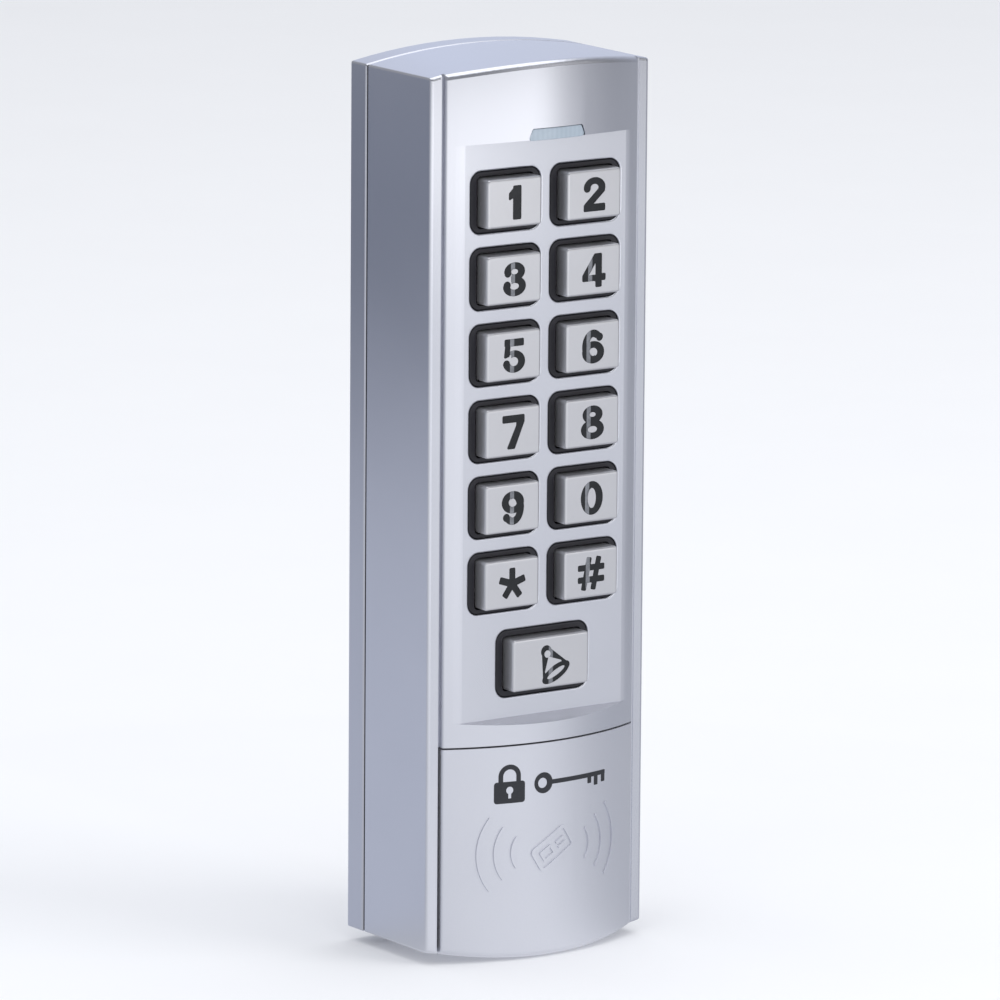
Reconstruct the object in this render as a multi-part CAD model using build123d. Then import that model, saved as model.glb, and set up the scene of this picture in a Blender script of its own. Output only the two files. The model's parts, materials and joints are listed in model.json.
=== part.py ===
from build123d import *
import math
import os

# Slim die-cast keypad reader for a door frame, standing upright on a wall.
# X is to the right seen from the front, Z is up, and the wall is the plane Y = 0.
# Depths are measured from the wall towards the front, so a depth d lies at Y = -d.
# All sizes are millimetres.

# Overall body
body_width = 43.0
side_height = 144.0         # straight part of the two sides
arch_rise = 2.0             # how far the top and bottom faces bow outward
bracket_depth = 4.25
seam_gap = 0.65             # dark line between the wall bracket and the housing
land_depth = 22.8           # wall to the narrow flat strips beside the front panel
crown_depth = 27.9          # wall to the highest line of the bowed front panel
crown_radius = 41.5
panel_width = 37.8
housing_wall = 2.0
corner_round = 0.4          # upright outer corners
front_round = 0.6           # outer edges of the flat strips
panel_end_round = 1.0       # top and bottom edges of the bowed panel
shoulder_round = 0.5        # long edges of the bowed panel
groove_width = 0.35
groove_depth = 0.6
lip_width = 0.3             # shallow step along the outer side of the groove
lip_depth = 0.15
edge_chamfer = 0.2          # bright line round the bracket's front edge

# Keypad recess in the bowed panel
key_plane_depth = 24.4
recess_edge_round = 4.0     # soft long edges where the key plane meets the bowed surface
recess_end_margin = 4.46    # recess past the first row of pockets
recess_foot_margin = 3.3    # recess past the bell's pocket
bottom_ledge_slope = 0.25   # ledge height gained per millimetre of depth
top_ledge_slope = 0.13
key_plate = 2.0             # metal left behind the key plane
key_plate_width = 33.2      # thinned metal behind the keys

# Keys
top_row_z = 51.34
cap_width = 10.6
cap_length = 8.0
bell_width = 15.0
bell_length = 8.6
collar_side = 1.6           # black collar seen at the sides of a cap
collar_end = 1.1            # and above and below it
bell_collar_end = 1.3
column_web = 1.86           # metal between neighbouring pockets
row_web = 2.32
bell_web = 3.14
pocket_corner = 2.0
pocket_rim_round = 0.3
cap_corner = 0.5
cap_edge_round = 0.4
cap_height = 2.6            # cap face in front of the key plane
cap_face = 1.2              # metal of the cap's face
cap_side = 1.1              # metal of the cap's sides
cap_flange_rim = 0.8        # flange past the cap's side
cap_flange = 1.0
cap_clearance = 0.3         # cap to rubber collar, each side
collar_clearance = 0.1      # rubber collar to pocket, each side
collar_sink = 0.15          # collar top below the key plane
collar_round = 0.25
collar_corner = 0.8
key_travel = 0.8
key_rest_gap = 0.1          # flange behind the rubber mat at rest
legend_sink = 0.1           # resin below the cap's face
guide_clearance = 0.05
web_width = 0.8             # thin webs that cross the cut legend and hold its islands
web_sink = 0.25
glyph_stroke = 1.4
glyph_height = 5.6
glyph_round = 0.26

# Rubber mat
mat_sheet = 1.2
mat_margin = 1.5            # sheet past the outer pockets

# Board, switches and lamps
board_thickness = 1.6
board_width = 30.4
board_end_gap = 3.5         # board to the housing's end walls
switch_size = 6.2
switch_height = 3.0
switch_gap = 0.7            # flange to switch body when the key is pressed
stem_radius = 1.0
stem_clearance = 0.06
stem_engagement = 1.2       # stem inside the switch at rest
stem_floor_gap = 0.2
lamp_size = (1.6, 0.8, 0.7)
lamp_offset = 4.3
board_screw_x = 13.4
board_boss_radius = 1.7
screw_core = 0.8
screw_head_radius = 1.6
screw_head = 1.1
screw_grip = 2.6
screw_tip_gap = 0.2         # blind hole past the screw's tip
drive_radius = 0.75
drive_depth = 0.6

# Reader panel
seam_drop = 4.1             # seam below the recess
panel_gap = 0.3
panel_base_drop = 2.4       # seat of the panel behind the flat strips
panel_hollow_width = 31.0
panel_skin = 1.8            # thinnest skin, at the edge of the hollow
panel_border = 3.7
window_step = 1.0           # housing window inside the panel's hollow, each side
coil_track = 2.6
coil_thickness = 0.8
coil_clearance = 0.6
emboss_height = 0.25
emboss_line = 0.5
card_size = (7.8, 4.5)
card_corner = 0.9
card_tilt = 31.7
chip_mark = (2.6, 1.9)
wave_radii = (4.0, 6.95, 9.8)
wave_reach = 37.0           # half angle of every wave, in degrees
wave_centre = 3.7

# Status window
lens_bottom_width = 11.2
lens_top_width = 9.6
lens_height = 1.9
lens_corner = 0.5
lens_sink = 0.15
lens_edge_round = 0.12
lens_flange_rim = 0.8
lens_flange = 0.9
lens_clearance = 0.1
lens_pipe_radius = 1.4
status_lamp_size = (3.2, 1.6, 1.1)
lamp_air_gap = 0.4

# Rear of the housing
cover_thickness = 1.6
cover_recess = 0.5          # cover inside the housing's rear rim
cover_clearance = 0.2
pillar_x = 17.4
pillar_z = 54.0
pillar_radius = 1.9
seal_inset = 0.2
seal_width = 0.8
bracket_plate = 1.8
bracket_wall = 1.6
wall_screw_pitch = 100.0
wall_screw_radius = 2.25
cable_z = -8.0
cable_hole_radius = 6.0
grommet_hole_radius = 4.5
grommet_bore_radius = 3.0
grommet_lip = 1.2
grommet_lip_thickness = 0.9
sensor_z = -38.0
sensor_radius = 1.5
sensor_height = 4.0
sensor_window_radius = 2.6
lug_width = 10.0
lug_thickness = 2.6
lug_gap = 0.4               # lug to the housing's end wall
lug_reach = 8.0             # lug in front of the bracket's rim
hook_tooth = 2.2
hook_catch = 1.0
security_screw_radius = 1.25
security_head_radius = 2.4
security_head = 1.2
security_clearance = 0.15

# Parts on the back of the board
buzzer_z = 34.0
buzzer_radius = 4.75
buzzer_height = 4.5
chip_z = -22.0
chip_size = 7.0
chip_height = 1.1
connector_z = 9.0
connector_size = (15.0, 5.0, 5.5)
connector_ways = 6
connector_pitch = 2.2

# Places and depths that follow from the sizes above
cap_size = (cap_width, cap_length)
bell_cap_size = (bell_width, bell_length)
pocket_size = (cap_width + 2 * collar_side, cap_length + 2 * collar_end)
bell_pocket_size = (bell_width + 2 * collar_side, bell_length + 2 * bell_collar_end)
column_pitch = pocket_size[0] + column_web
row_pitch = pocket_size[1] + row_web
bottom_row_z = top_row_z - 5 * row_pitch
bell_z = bottom_row_z - (pocket_size[1] + bell_pocket_size[1]) / 2 - bell_web
recess_top = top_row_z + pocket_size[1] / 2 + recess_end_margin
recess_bottom = bell_z - bell_pocket_size[1] / 2 - recess_foot_margin
seam_z = recess_bottom - seam_drop
housing_rear = bracket_depth + seam_gap
key_plate_back = key_plane_depth - key_plate
land_back = land_depth - housing_wall
panel_seat = land_depth - panel_base_drop
seat_back = panel_seat - housing_wall
cap_front = key_plane_depth + cap_height
mat_back = key_plate_back - mat_sheet
flange_front = mat_back - key_rest_gap
cap_back = flange_front - cap_flange
switch_top = cap_back - key_travel - switch_gap
board_front = switch_top - switch_height
board_back = board_front - board_thickness
cover_back = housing_rear + cover_recess
cover_front = cover_back + cover_thickness
panel_top = seam_z - panel_gap / 2
casting_bottom = seam_z + panel_gap / 2
crest = side_height / 2 + arch_rise
inner_crest = crest - housing_wall
board_end = inner_crest - board_end_gap
lens_z = recess_top + (crown_depth - key_plane_depth) * top_ledge_slope + lens_height / 2 - 0.2
board_screw_rows = (recess_top + board_boss_radius, seam_z + 2.5, -board_end + 3.0)
panel_screw_rows = (seam_z - 6.0, -inner_crest + 5.5)
panel_screw_x = panel_width / 2 - board_boss_radius
symbol_z = (seam_z - crest) / 2


def slab(sketch, back, front):
    """Solid of a front-view sketch between two depths from the wall."""
    return extrude(Plane.XZ.offset(back) * sketch, amount=front - back)


def block(width, height, back, front, x=0.0, z=0.0):
    return slab(Pos(x, z) * Rectangle(width, height), back, front)


def peg(radius, back, front, x=0.0, z=0.0):
    return slab(Pos(x, z) * Circle(radius), back, front)


def span(bottom, top, width, back, front):
    """Centred block between two heights."""
    return block(width, top - bottom, back, front, z=(top + bottom) / 2)


def crown_at(x, lift=0.0):
    """Depth of the bowed surface at a distance from the centre line."""
    radius = crown_radius + lift
    return crown_depth - crown_radius + math.sqrt(radius * radius - x * x)


def arched_outline(inset=0.0):
    """Front view of the body: straight sides, bowed top and bottom."""
    half = body_width / 2 - inset
    corner = side_height / 2 - inset
    middle = crest - inset
    top = ThreePointArc((-half, corner), (0, middle), (half, corner))
    right = Line((half, corner), (half, -corner))
    bottom = ThreePointArc((half, -corner), (0, -middle), (-half, -corner))
    left = Line((-half, -corner), (-half, corner))
    return make_face(top + right + bottom + left)


def bowed_bar(base, lift=0.0):
    """Bowed panel section, far longer than the body."""
    half = panel_width / 2
    shoulder = crown_at(half, lift)
    arc = ThreePointArc((-half, -shoulder), (0, -crown_depth - lift), (half, -shoulder))
    rest = Polyline((half, -shoulder), (half, -base), (-half, -base), (-half, -shoulder))
    section = make_face(arc + rest)
    return extrude(Plane.XY.offset(-side_height) * section, amount=2 * side_height)


def bowed_panel(base, bottom, top):
    """Length of the bowed panel, trimmed by the body's outline and rounded."""
    panel = bowed_bar(base) & slab(arched_outline(), base - 1, crown_depth + 1)
    panel = panel & span(bottom, top, panel_width + 2, base - 1, crown_depth + 1)
    ends = [
        edge
        for edge in panel.edges()
        if abs(edge.center().Z) > side_height / 2 and -edge.center().Y > crown_at(panel_width / 2)
    ]
    panel = fillet(ends, panel_end_round)
    shoulders = [
        edge
        for edge in panel.edges().filter_by(Axis.Z)
        if -edge.center().Y > base + 0.5 and abs(edge.center().X) > panel_width / 2 - 0.01
    ]
    return fillet(shoulders, shoulder_round)


# ---------------------------------------------------------------- legends

def bar(x1, z1, x2, z2, width):
    """Straight stroke with soft corners."""
    length = math.hypot(x2 - x1, z2 - z1)
    angle = math.degrees(math.atan2(z2 - z1, x2 - x1))
    return Pos((x1 + x2) / 2, (z1 + z2) / 2) * Rot(0, 0, angle) * RectangleRounded(length, width, glyph_round)


def pad(left, bottom, right, top):
    """Upright block of a glyph with soft corners."""
    place = Pos((left + right) / 2, (bottom + top) / 2)
    return place * RectangleRounded(right - left, top - bottom, glyph_round)


def gap(left, bottom, right, top):
    """Sharp-cornered cutter."""
    return Pos((left + right) / 2, (bottom + top) / 2) * Rectangle(right - left, top - bottom)


def soft_polygon(*points):
    """Filled outline, points counter-clockwise, with soft corners."""
    shape = Polygon(*points, align=None)
    return fillet(shape.vertices(), glyph_round)


def ring(x, z, outer_x, outer_z, stroke):
    return Pos(x, z) * (Ellipse(outer_x, outer_z) - Ellipse(outer_x - stroke, outer_z - 0.8 * stroke))


HALF = glyph_height / 2
THIN = 0.9 * glyph_stroke


def legend_1():
    flag = soft_polygon((-1.25, 0.3), (0.4, 1.1), (0.4, HALF), (0.0, HALF), (-1.25, 1.55))
    return flag + pad(-0.42, -HALF, 1.25, HALF)


def legend_2():
    bowl = ring(0, 1.1, 2.15, 1.7, glyph_stroke) - gap(-3, -1, 0, 1.0)
    bowl = bowl - gap(-1, -1, 0.8, 0.9) + Pos(-1.45, 1.05) * Circle(glyph_stroke / 2)
    return bowl + bar(1.75, 0.95, -1.65, -2.05, THIN) + pad(-2.15, -HALF, 2.15, THIN - HALF)


def legend_3():
    upper = ring(0, 1.25, 2.05, 1.55, glyph_stroke) - gap(-3, -1, -0.6, 1.05)
    lower = ring(0, -1.15, 2.25, 1.65, glyph_stroke) - gap(-3, -0.95, -0.6, 1)
    ends = [Pos(-1.3, 1.05) * Circle(0.68), Pos(-1.45, -0.95) * Circle(0.72)]
    return upper + lower + ends + pad(-0.7, -0.55, 1.0, 0.65)


def legend_4():
    outer = soft_polygon((-2.3, -1.75), (0.3, -1.75), (0.3, -HALF), (1.6, -HALF), (1.6, HALF), (0.1, HALF),
                         (-2.3, -0.7))
    counter = Polygon((-0.95, -0.7), (0.3, -0.7), (0.3, 1.15), align=None)
    return outer + pad(0.8, -1.75, 2.35, -0.55) - counter


def legend_5():
    bowl = ring(0, -0.95, 2.2, 1.85, glyph_stroke) - gap(-3, -1.25, -0.55, 0.15)
    stem = soft_polygon((-1.7, 2.3), (-2.0, -0.4), (-0.85, -0.1), (-0.6, 2.3))
    return bowl + stem + pad(-1.9, HALF - THIN, 1.95, HALF) + Pos(-1.45, -1.3) * Circle(0.68)


def legend_6():
    bowl = ring(0, -0.95, 2.2, 1.85, glyph_stroke)
    back = (Ellipse(2.2, HALF) - Ellipse(0.8, 1.55)) - gap(0.4, -3, 3, 1.35)
    return bowl + back + Pos(1.25, 1.5) * Circle(0.68)


def legend_7():
    leg = soft_polygon((2.2, 1.6), (2.2, HALF), (0.6, HALF), (0.5, 1.0), (-1.35, -HALF), (0.3, -HALF))
    return pad(-2.2, HALF - THIN, 2.2, HALF) + leg


def legend_8():
    return ring(0, 1.3, 2.0, 1.5, glyph_stroke) + ring(0, -1.15, 2.3, 1.65, glyph_stroke)


def legend_9():
    return Rot(0, 0, 180) * legend_6()


def legend_0():
    return Ellipse(2.2, HALF) - Ellipse(0.8, 1.65)


def legend_star():
    arms = [Rot(0, 0, 90 + 72 * turn) * pad(0, -0.6, 2.65, 0.6) for turn in range(5)]
    return Sketch() + arms


def legend_hash():
    slant = 12.0
    upright = Rot(0, 0, -slant) * RectangleRounded(1.05, glyph_height, glyph_round)
    uprights = [Pos(x, 0) * upright for x in (-0.95, 0.95)]
    levels = [Pos(0, z) * RectangleRounded(5.3, 1.05, glyph_round) for z in (-1.0, 1.0)]
    return Sketch() + uprights + levels


def legend_bell():
    """Tilted bell drawn as an outline, with its mouth at the lower right."""
    def outline(grow):
        top = 3.1 + grow
        side = 1.05 + grow
        foot = 2.75 + grow
        rim = -2.5 - grow
        return make_face(
            ThreePointArc((-side, top - 1.2), (0, top), (side, top - 1.2))
            + Polyline((side, top - 1.2), (foot, rim + 0.7), (foot, rim), (-foot, rim),
                       (-foot, rim + 0.7), (-side, top - 1.2))
        )

    shell = outline(0.0) - outline(-0.95)
    mouth = Pos(0, -2.1) * (Ellipse(3.0, 1.25) - Ellipse(1.9, 0.45))
    return Rot(0, 0, 28) * (shell - Pos(0, -2.1) * Ellipse(3.0, 1.25) + mouth)


# key name, column (-1, 0, 1), row, legend, place of its web or None
KEYS = [
    ("1", -1, 0, legend_1, None),
    ("2", 1, 0, legend_2, None),
    ("3", -1, 1, legend_3, -0.25),
    ("4", 1, 1, legend_4, -0.65),
    ("5", -1, 2, legend_5, -0.3),
    ("6", 1, 2, legend_6, -0.85),
    ("7", -1, 3, legend_7, None),
    ("8", 1, 3, legend_8, -0.7),
    ("9", -1, 4, legend_9, -0.1),
    ("0", 1, 4, legend_0, -0.85),
    ("star", -1, 5, legend_star, None),
    ("hash", 1, 5, legend_hash, -0.6),
    ("bell", 0, None, legend_bell, 0.0),
]


def key_place(column, row):
    if row is None:
        return 0.0, bell_z
    return column * column_pitch / 2, top_row_z - row * row_pitch


def key_sizes(row):
    """Pocket and cap sizes of a key."""
    if row is None:
        return bell_pocket_size, bell_cap_size
    return pocket_size, cap_size


def grown(size, rim):
    return size[0] + 2 * rim, size[1] + 2 * rim


# ---------------------------------------------------------------- keys

def web_of(legend, web_x, size):
    """Sketch of the strips of metal that cross a cut legend."""
    return legend & Pos(web_x, 0) * Rectangle(web_width, size[1])


def make_cap(x, z, size, legend, web_x):
    """Cast metal cap: flange behind the mat, hollow back, legend cut through the face."""
    face_back = cap_front - cap_face
    cap = slab(RectangleRounded(*size, cap_corner), cap_back, cap_front)
    cap = fillet(cap.edges().group_by(Axis.Y)[0], cap_edge_round)
    cap += slab(RectangleRounded(*grown(size, cap_flange_rim), cap_corner), cap_back, flange_front)
    cap -= slab(Rectangle(*grown(size, -cap_side)), cap_back, face_back)
    cap -= slab(legend, face_back, cap_front)
    if web_x is not None:
        cap += slab(web_of(legend, web_x, size), face_back, cap_front - web_sink)
    return Pos(x, 0, z) * cap


def make_guide(x, z, size, legend, web_x):
    """Smoked light guide inside the cap; its front fills the cut legend."""
    face_back = cap_front - cap_face
    guide = slab(Rectangle(*grown(size, -cap_side - guide_clearance)), cap_back, face_back)
    guide += slab(legend, face_back, cap_front - legend_sink)
    if web_x is not None:
        guide -= slab(web_of(legend, web_x, size), face_back, cap_front)
    return Pos(x, 0, z) * guide


def make_stem(x, z):
    return peg(stem_radius, switch_top - stem_engagement, cap_back, x, z)


def make_switch(x, z):
    well = switch_top - stem_engagement - key_travel - stem_floor_gap
    body = block(switch_size, switch_size, board_front, switch_top, x, z)
    return body - peg(stem_radius + stem_clearance, well, switch_top, x, z)


def make_mat():
    """Silicone sheet behind the key plate with a raised collar round every key."""
    reach = column_pitch / 2 + pocket_size[0] / 2 + mat_margin
    top = top_row_z + pocket_size[1] / 2 + mat_margin
    bottom = bell_z - bell_pocket_size[1] / 2 - mat_margin
    mat = span(bottom, top, 2 * reach, mat_back, key_plate_back)
    for name, column, row, legend, web_x in KEYS:
        pocket, cap = key_sizes(row)
        outer = RectangleRounded(*grown(pocket, -collar_clearance), pocket_corner - collar_clearance)
        collar = slab(outer, key_plate_back, key_plane_depth - collar_sink)
        collar = fillet(collar.edges().group_by(Axis.Y)[0], collar_round)
        opening = RectangleRounded(*grown(cap, cap_clearance), collar_corner)
        x, z = key_place(column, row)
        mat += Pos(x, 0, z) * collar
        mat -= Pos(x, 0, z) * slab(opening, mat_back, key_plane_depth)
    return mat


# ---------------------------------------------------------------- shell

def lens_outline(grow):
    """Trapezium with rounded corners, as wide as the notch in the top ledge."""
    top = lens_height / 2 + grow
    wide = lens_bottom_width / 2 + grow
    narrow = lens_top_width / 2 + grow
    shape = Polygon((-wide, -top), (wide, -top), (narrow, top), (-narrow, top), align=None)
    return Pos(0, lens_z) * fillet(shape.vertices(), lens_corner)


def keypad_recess():
    """Cutter with a flat floor, soft long edges and slightly sloping bottom and top ledges."""
    rise = crown_depth - key_plane_depth + 1.0
    bow_centre = crown_radius - crown_depth
    reach = crown_radius - recess_edge_round
    flat = math.sqrt(reach**2 - (bow_centre + key_plane_depth - recess_edge_round) ** 2)
    scale = crown_radius / reach
    edge_x = flat * scale
    edge_depth = (bow_centre + key_plane_depth - recess_edge_round) * scale - bow_centre
    front = key_plane_depth + rise
    floor = Polyline((flat, -key_plane_depth), (-flat, -key_plane_depth))
    left = RadiusArc((-flat, -key_plane_depth), (-edge_x, -edge_depth), recess_edge_round)
    sides = Polyline((-edge_x, -edge_depth), (-edge_x, -front), (edge_x, -front), (edge_x, -edge_depth))
    right = RadiusArc((edge_x, -edge_depth), (flat, -key_plane_depth), recess_edge_round)
    section = make_face(floor + left + sides + right)
    channel = extrude(Plane.XY.offset(-side_height) * section, amount=2 * side_height)
    low = recess_bottom - rise * bottom_ledge_slope
    high = recess_top + rise * top_ledge_slope
    side = Polyline(
        (-land_depth, recess_bottom),
        (-key_plane_depth, recess_bottom),
        (-key_plane_depth - rise, low),
        (-key_plane_depth - rise, high),
        (-key_plane_depth, recess_top),
        (-land_depth, recess_top),
        close=True,
    )
    return channel & extrude(Plane.YZ.offset(-panel_width / 2) * make_face(side), amount=panel_width)


def make_housing():
    """Die-cast front housing with the upper bowed panel, key pockets and screw posts."""
    body = slab(arched_outline(), housing_rear, land_depth)
    body = fillet(body.edges().filter_by(Axis.Y), corner_round)
    body = fillet(body.faces().sort_by(Axis.Y)[0].edges(), front_round)
    seat_width = panel_width + 2 * groove_width
    body -= span(-crest - 1, casting_bottom, seat_width, panel_seat, land_depth + 1)
    groove = span(casting_bottom, crest + 1, seat_width, land_depth - groove_depth, land_depth + 1)
    body -= groove
    body -= span(-crest - 1, crest + 1, seat_width + 2 * lip_width, land_depth - lip_depth, land_depth + 1)
    housing = body + bowed_panel(land_back, casting_bottom, crest + 1)
    housing -= keypad_recess()

    inner = arched_outline(housing_wall)
    upper = Pos(0, (inner_crest + casting_bottom + housing_wall) / 2) * Rectangle(
        body_width, inner_crest - casting_bottom - housing_wall)
    housing -= slab(inner, housing_rear - 1, seat_back)
    housing -= slab(inner & upper, seat_back, land_back)
    housing -= span(recess_bottom, recess_top + 4, key_plate_width, land_back, key_plate_back)
    window_reach = panel_hollow_width - 2 * window_step
    housing -= span(-inner_crest + panel_border, panel_top - panel_border, window_reach,
                    seat_back - 1, panel_seat + 1)

    for name, column, row, legend, web_x in KEYS:
        pocket, cap = key_sizes(row)
        x, z = key_place(column, row)
        opening = RectangleRounded(*pocket, pocket_corner)
        housing -= Pos(x, 0, z) * slab(opening, key_plate_back, key_plane_depth)
    rims = [
        edge
        for edge in housing.edges()
        if abs(edge.center().Y + key_plane_depth) < 0.001
        and abs(edge.center().X) < key_plate_width / 2 - 1.0
        and recess_bottom + 0.5 < edge.center().Z < recess_top - 0.5
    ]
    housing = fillet(rims, pocket_rim_round)
    housing -= slab(lens_outline(lens_clearance), key_plate_back, crown_depth + 1)

    for side in (-1, 1):
        for z in board_screw_rows:
            top = key_plate_back if z > casting_bottom else panel_seat
            housing += peg(board_boss_radius, board_front, top, side * board_screw_x, z)
            housing -= peg(screw_core, board_front, board_front + screw_grip, side * board_screw_x, z)
        for z in (-pillar_z, pillar_z):
            pillar = peg(pillar_radius, cover_front, seat_back + 0.1, side * pillar_x, z)
            pillar += block(housing_wall, 2 * pillar_radius, cover_front, seat_back + 0.1,
                            side * (pillar_x + housing_wall / 2 + 0.5), z)
            if z > 0:
                pillar += peg(pillar_radius, seat_back, land_back + 0.1, side * pillar_x, z)
            housing += pillar & slab(arched_outline(housing_wall / 2), housing_rear, land_depth)
            housing -= peg(screw_core, cover_front, cover_front + screw_grip, side * pillar_x, z)
        for z in panel_screw_rows:
            housing -= peg(screw_core, seat_back, panel_seat, side * panel_screw_x, z)

    catch_top = inner_crest + housing_wall / 2
    tooth_back = bracket_depth + lug_reach - hook_tooth
    housing += span(inner_crest - hook_catch, catch_top, lug_width + 4, cover_front, tooth_back - 0.2)
    screw_depth = bracket_depth + lug_reach / 2
    shank = security_screw_radius + security_clearance
    housing -= upright(shank, -crest - 1, -inner_crest + 1, screw_depth)
    head = security_head_radius + security_clearance
    housing -= upright(head, -crest - 1, -crest + security_head, screw_depth)
    return housing


def upright(radius, bottom, top, depth):
    """Round bar along Z at a depth from the wall."""
    return extrude(Plane.XY.offset(bottom) * (Pos(0, -depth) * Circle(radius)), amount=top - bottom)


def make_lens():
    """Milky status window: face in the notch, flange behind it, light pipe to the lamp."""
    face = slab(lens_outline(0.0), key_plate_back, crown_depth) & bowed_bar(panel_seat, -lens_sink)
    face = fillet(face.faces().sort_by(Axis.Y)[0].edges(), lens_edge_round)
    flange = slab(lens_outline(lens_flange_rim), key_plate_back - lens_flange, key_plate_back)
    lamp_front = board_front + status_lamp_size[2]
    pipe = peg(lens_pipe_radius, lamp_front + lamp_air_gap, key_plate_back - lens_flange, z=lens_z)
    return face + flange + pipe


def reader_symbol():
    """Proximity symbol: a tilted card with a chip between three waves on each side."""
    outer = RectangleRounded(*card_size, card_corner)
    inner = RectangleRounded(*grown(card_size, -emboss_line), card_corner - emboss_line)
    chip = RectangleRounded(*chip_mark, 0.3) - RectangleRounded(*grown(chip_mark, -0.4), 0.1)
    stripes = [Pos(1.8, z) * Rectangle(1.8, 0.4) for z in (0.4, -0.5)]
    card = Rot(0, 0, card_tilt) * (outer - inner + [Pos(-1.3, 0) * chip, *stripes])
    waves = Sketch()
    for radius in wave_radii:
        arc = CenterArc((0, 0), radius, -wave_reach, 2 * wave_reach)
        line = Pos(wave_centre, 0) * SlotArc(arc, emboss_line)
        waves += [line, Rot(0, 0, 180) * line]
    return Pos(0, symbol_z) * (card + waves)


def make_reader_panel():
    """Plastic lower front panel that the card's radio field passes through."""
    panel = bowed_panel(panel_seat, -crest - 1, panel_top)
    hollow_front = crown_at(panel_hollow_width / 2) - panel_skin
    panel -= span(-inner_crest + panel_border, panel_top - panel_border, panel_hollow_width,
                  panel_seat, hollow_front)
    raised = slab(reader_symbol(), hollow_front, crown_depth + 1)
    panel += raised & bowed_bar(panel_seat, emboss_height)
    for side in (-1, 1):
        for z in panel_screw_rows:
            panel -= peg(screw_core, panel_seat, panel_seat + screw_grip, side * panel_screw_x, z)
    return panel


def make_coil():
    """Flat antenna winding bonded into the hollow of the reader panel."""
    hollow_front = crown_at(panel_hollow_width / 2) - panel_skin
    low = -inner_crest + panel_border + coil_clearance
    high = panel_top - panel_border - coil_clearance
    outer = (panel_hollow_width - 2 * coil_clearance, high - low)
    shape = RectangleRounded(*outer, 4.0) - RectangleRounded(*grown(outer, -coil_track), 2.0)
    return slab(Pos(0, (low + high) / 2) * shape, hollow_front - coil_thickness, hollow_front)


def make_bracket():
    """Rear wall bracket: shallow tray with wall-screw holes, top hook and bottom lug."""
    bracket = slab(arched_outline(), 0, bracket_depth)
    bracket = fillet(bracket.edges().filter_by(Axis.Y), corner_round)
    bracket = chamfer(bracket.faces().sort_by(Axis.Y)[0].edges(), edge_chamfer)
    bracket -= slab(arched_outline(bracket_wall), bracket_plate, bracket_depth)
    for z in (-wall_screw_pitch / 2, wall_screw_pitch / 2):
        bracket -= peg(wall_screw_radius, 0, bracket_plate, z=z)
    bracket -= peg(cable_hole_radius, 0, bracket_plate, z=cable_z)
    bracket -= peg(sensor_window_radius, 0, bracket_plate, z=sensor_z)
    lug_front = bracket_depth + lug_reach
    lug_low = -inner_crest + lug_gap
    bracket += span(lug_low, lug_low + lug_thickness, lug_width, 0, lug_front)
    bracket -= upright(security_screw_radius, lug_low, lug_low + lug_thickness,
                       bracket_depth + lug_reach / 2)
    hook_top = inner_crest - hook_catch - lug_gap
    bracket += span(hook_top - lug_thickness, hook_top, lug_width, 0, lug_front)
    bracket += span(hook_top, inner_crest - lug_gap, lug_width, lug_front - hook_tooth, lug_front)
    return bracket


def make_security_screw():
    """Bottom screw that locks the housing to the bracket."""
    depth = bracket_depth + lug_reach / 2
    tip = -inner_crest + lug_gap + lug_thickness + 1.0
    seat = -crest + security_head
    screw = upright(security_screw_radius, seat, tip, depth)
    screw += upright(security_head_radius, seat - security_head, seat, depth)
    return screw - upright(0.9, seat - security_head, seat - security_head + 0.8, depth)


def make_screws(places, seat, clamped):
    """Small self-tapping screws driven towards the front, clamping a thickness at the seat depth."""
    shape = peg(screw_core, seat, seat + clamped + screw_grip - screw_tip_gap)
    shape += peg(screw_head_radius, seat - screw_head, seat)
    shape -= peg(drive_radius, seat - screw_head, seat - screw_head + drive_depth)
    return Compound(children=[Pos(x, 0, z) * shape for x, z in places])


def make_cover():
    """Plastic rear cover that closes the electronics in the housing."""
    outline = arched_outline(housing_wall + cover_clearance)
    reach = inner_crest - hook_catch - 2 * lug_gap - lug_thickness - 1.0
    outline = outline & Rectangle(body_width, 2 * reach)
    cover = slab(outline, cover_back, cover_front)
    for side in (-1, 1):
        for z in (-pillar_z, pillar_z):
            cover -= peg(screw_core, cover_back, cover_front, side * pillar_x, z)
    cover -= peg(grommet_hole_radius, cover_back, cover_front, z=cable_z)
    return cover - peg(sensor_window_radius, cover_back, cover_front, z=sensor_z)


def make_seal():
    """Thin gasket between the bracket's rim and the housing."""
    ring_face = arched_outline(seal_inset) - arched_outline(seal_inset + seal_width)
    return slab(ring_face, bracket_depth, housing_rear)


def make_grommet():
    """Rubber cable gland snapped into the rear cover."""
    lip = grommet_hole_radius + grommet_lip
    gland = peg(grommet_hole_radius, cover_back, cover_front)
    gland += peg(lip, cover_back - grommet_lip_thickness, cover_back)
    gland += peg(lip, cover_front, cover_front + grommet_lip_thickness)
    bore = peg(grommet_bore_radius, cover_back - 2, cover_front + 2)
    return Pos(0, 0, cable_z) * (gland - bore)


# ---------------------------------------------------------------- electronics

def make_board():
    board = block(board_width, 2 * board_end, board_back, board_front)
    for side in (-1, 1):
        for z in board_screw_rows:
            board -= peg(screw_core, board_back, board_front, side * board_screw_x, z)
    return board


def make_buzzer():
    can = peg(buzzer_radius, board_back - buzzer_height, board_back, z=buzzer_z)
    return can - peg(1.0, board_back - buzzer_height, board_back - 1.0, z=buzzer_z)


def make_chip():
    chip = block(chip_size, chip_size, board_back - chip_height, board_back, z=chip_z)
    return chamfer(chip.faces().sort_by(Axis.Y)[-1].edges(), 0.2)


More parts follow.
